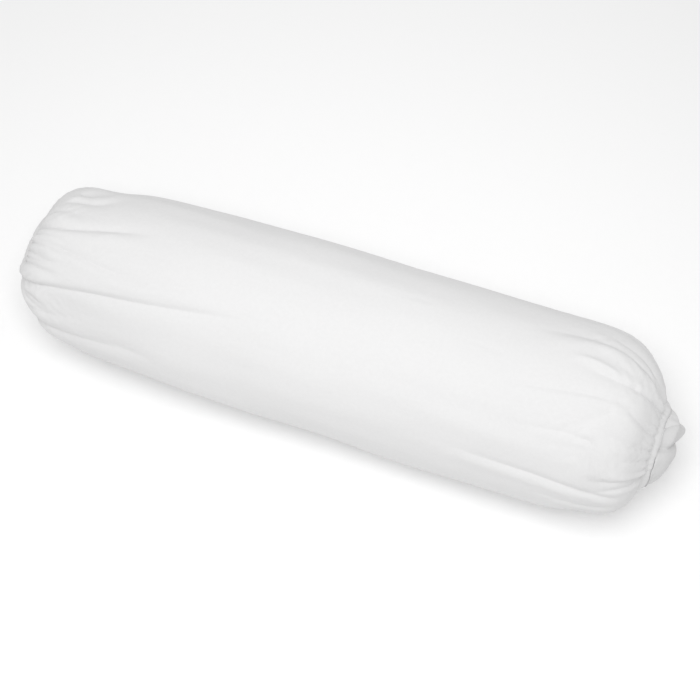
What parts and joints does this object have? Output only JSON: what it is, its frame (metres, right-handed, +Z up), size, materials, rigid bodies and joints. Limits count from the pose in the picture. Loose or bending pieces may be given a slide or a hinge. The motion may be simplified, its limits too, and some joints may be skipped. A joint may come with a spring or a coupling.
{
  "type": "bolster pillow",
  "caption": "Long round bolster pillow in a removable white cotton cover, gathered by elastic at both ends, with the inner pillow bulging out of one.",
  "frame": {"origin": "on the surface that the pillow rests on, under the middle of its overall box", "axes": "+X along the pillow towards the end where the inner pillow bulges out, +Z up, +Y across the pillow"},
  "size_m": [0.6601, 0.184, 0.177],
  "materials": {
    "cover_cotton": "plain woven white cotton, matt",
    "case_cotton": "fine woven white cotton ticking, matt",
    "elastic": "braided white elastic",
    "thread": "white polyester sewing thread",
    "polyester_fibre": "loose white polyester fibre"
  },
  "bodies": {
    "root": {"cover_cloth": "cover_cotton", "cover_elastic_left": "elastic", "cover_elastic_right": "elastic", "cover_hem_thread_left": "thread", "cover_hem_thread_right": "thread", "cover_side_thread": "thread", "inner_case_body": "case_cotton", "inner_case_end_left": "case_cotton", "inner_case_end_right": "case_cotton", "inner_end_thread_left": "thread", "inner_end_thread_right": "thread", "inner_side_thread": "thread", "fibre_fill": "polyester_fibre"}
  },
  "joints": []
}
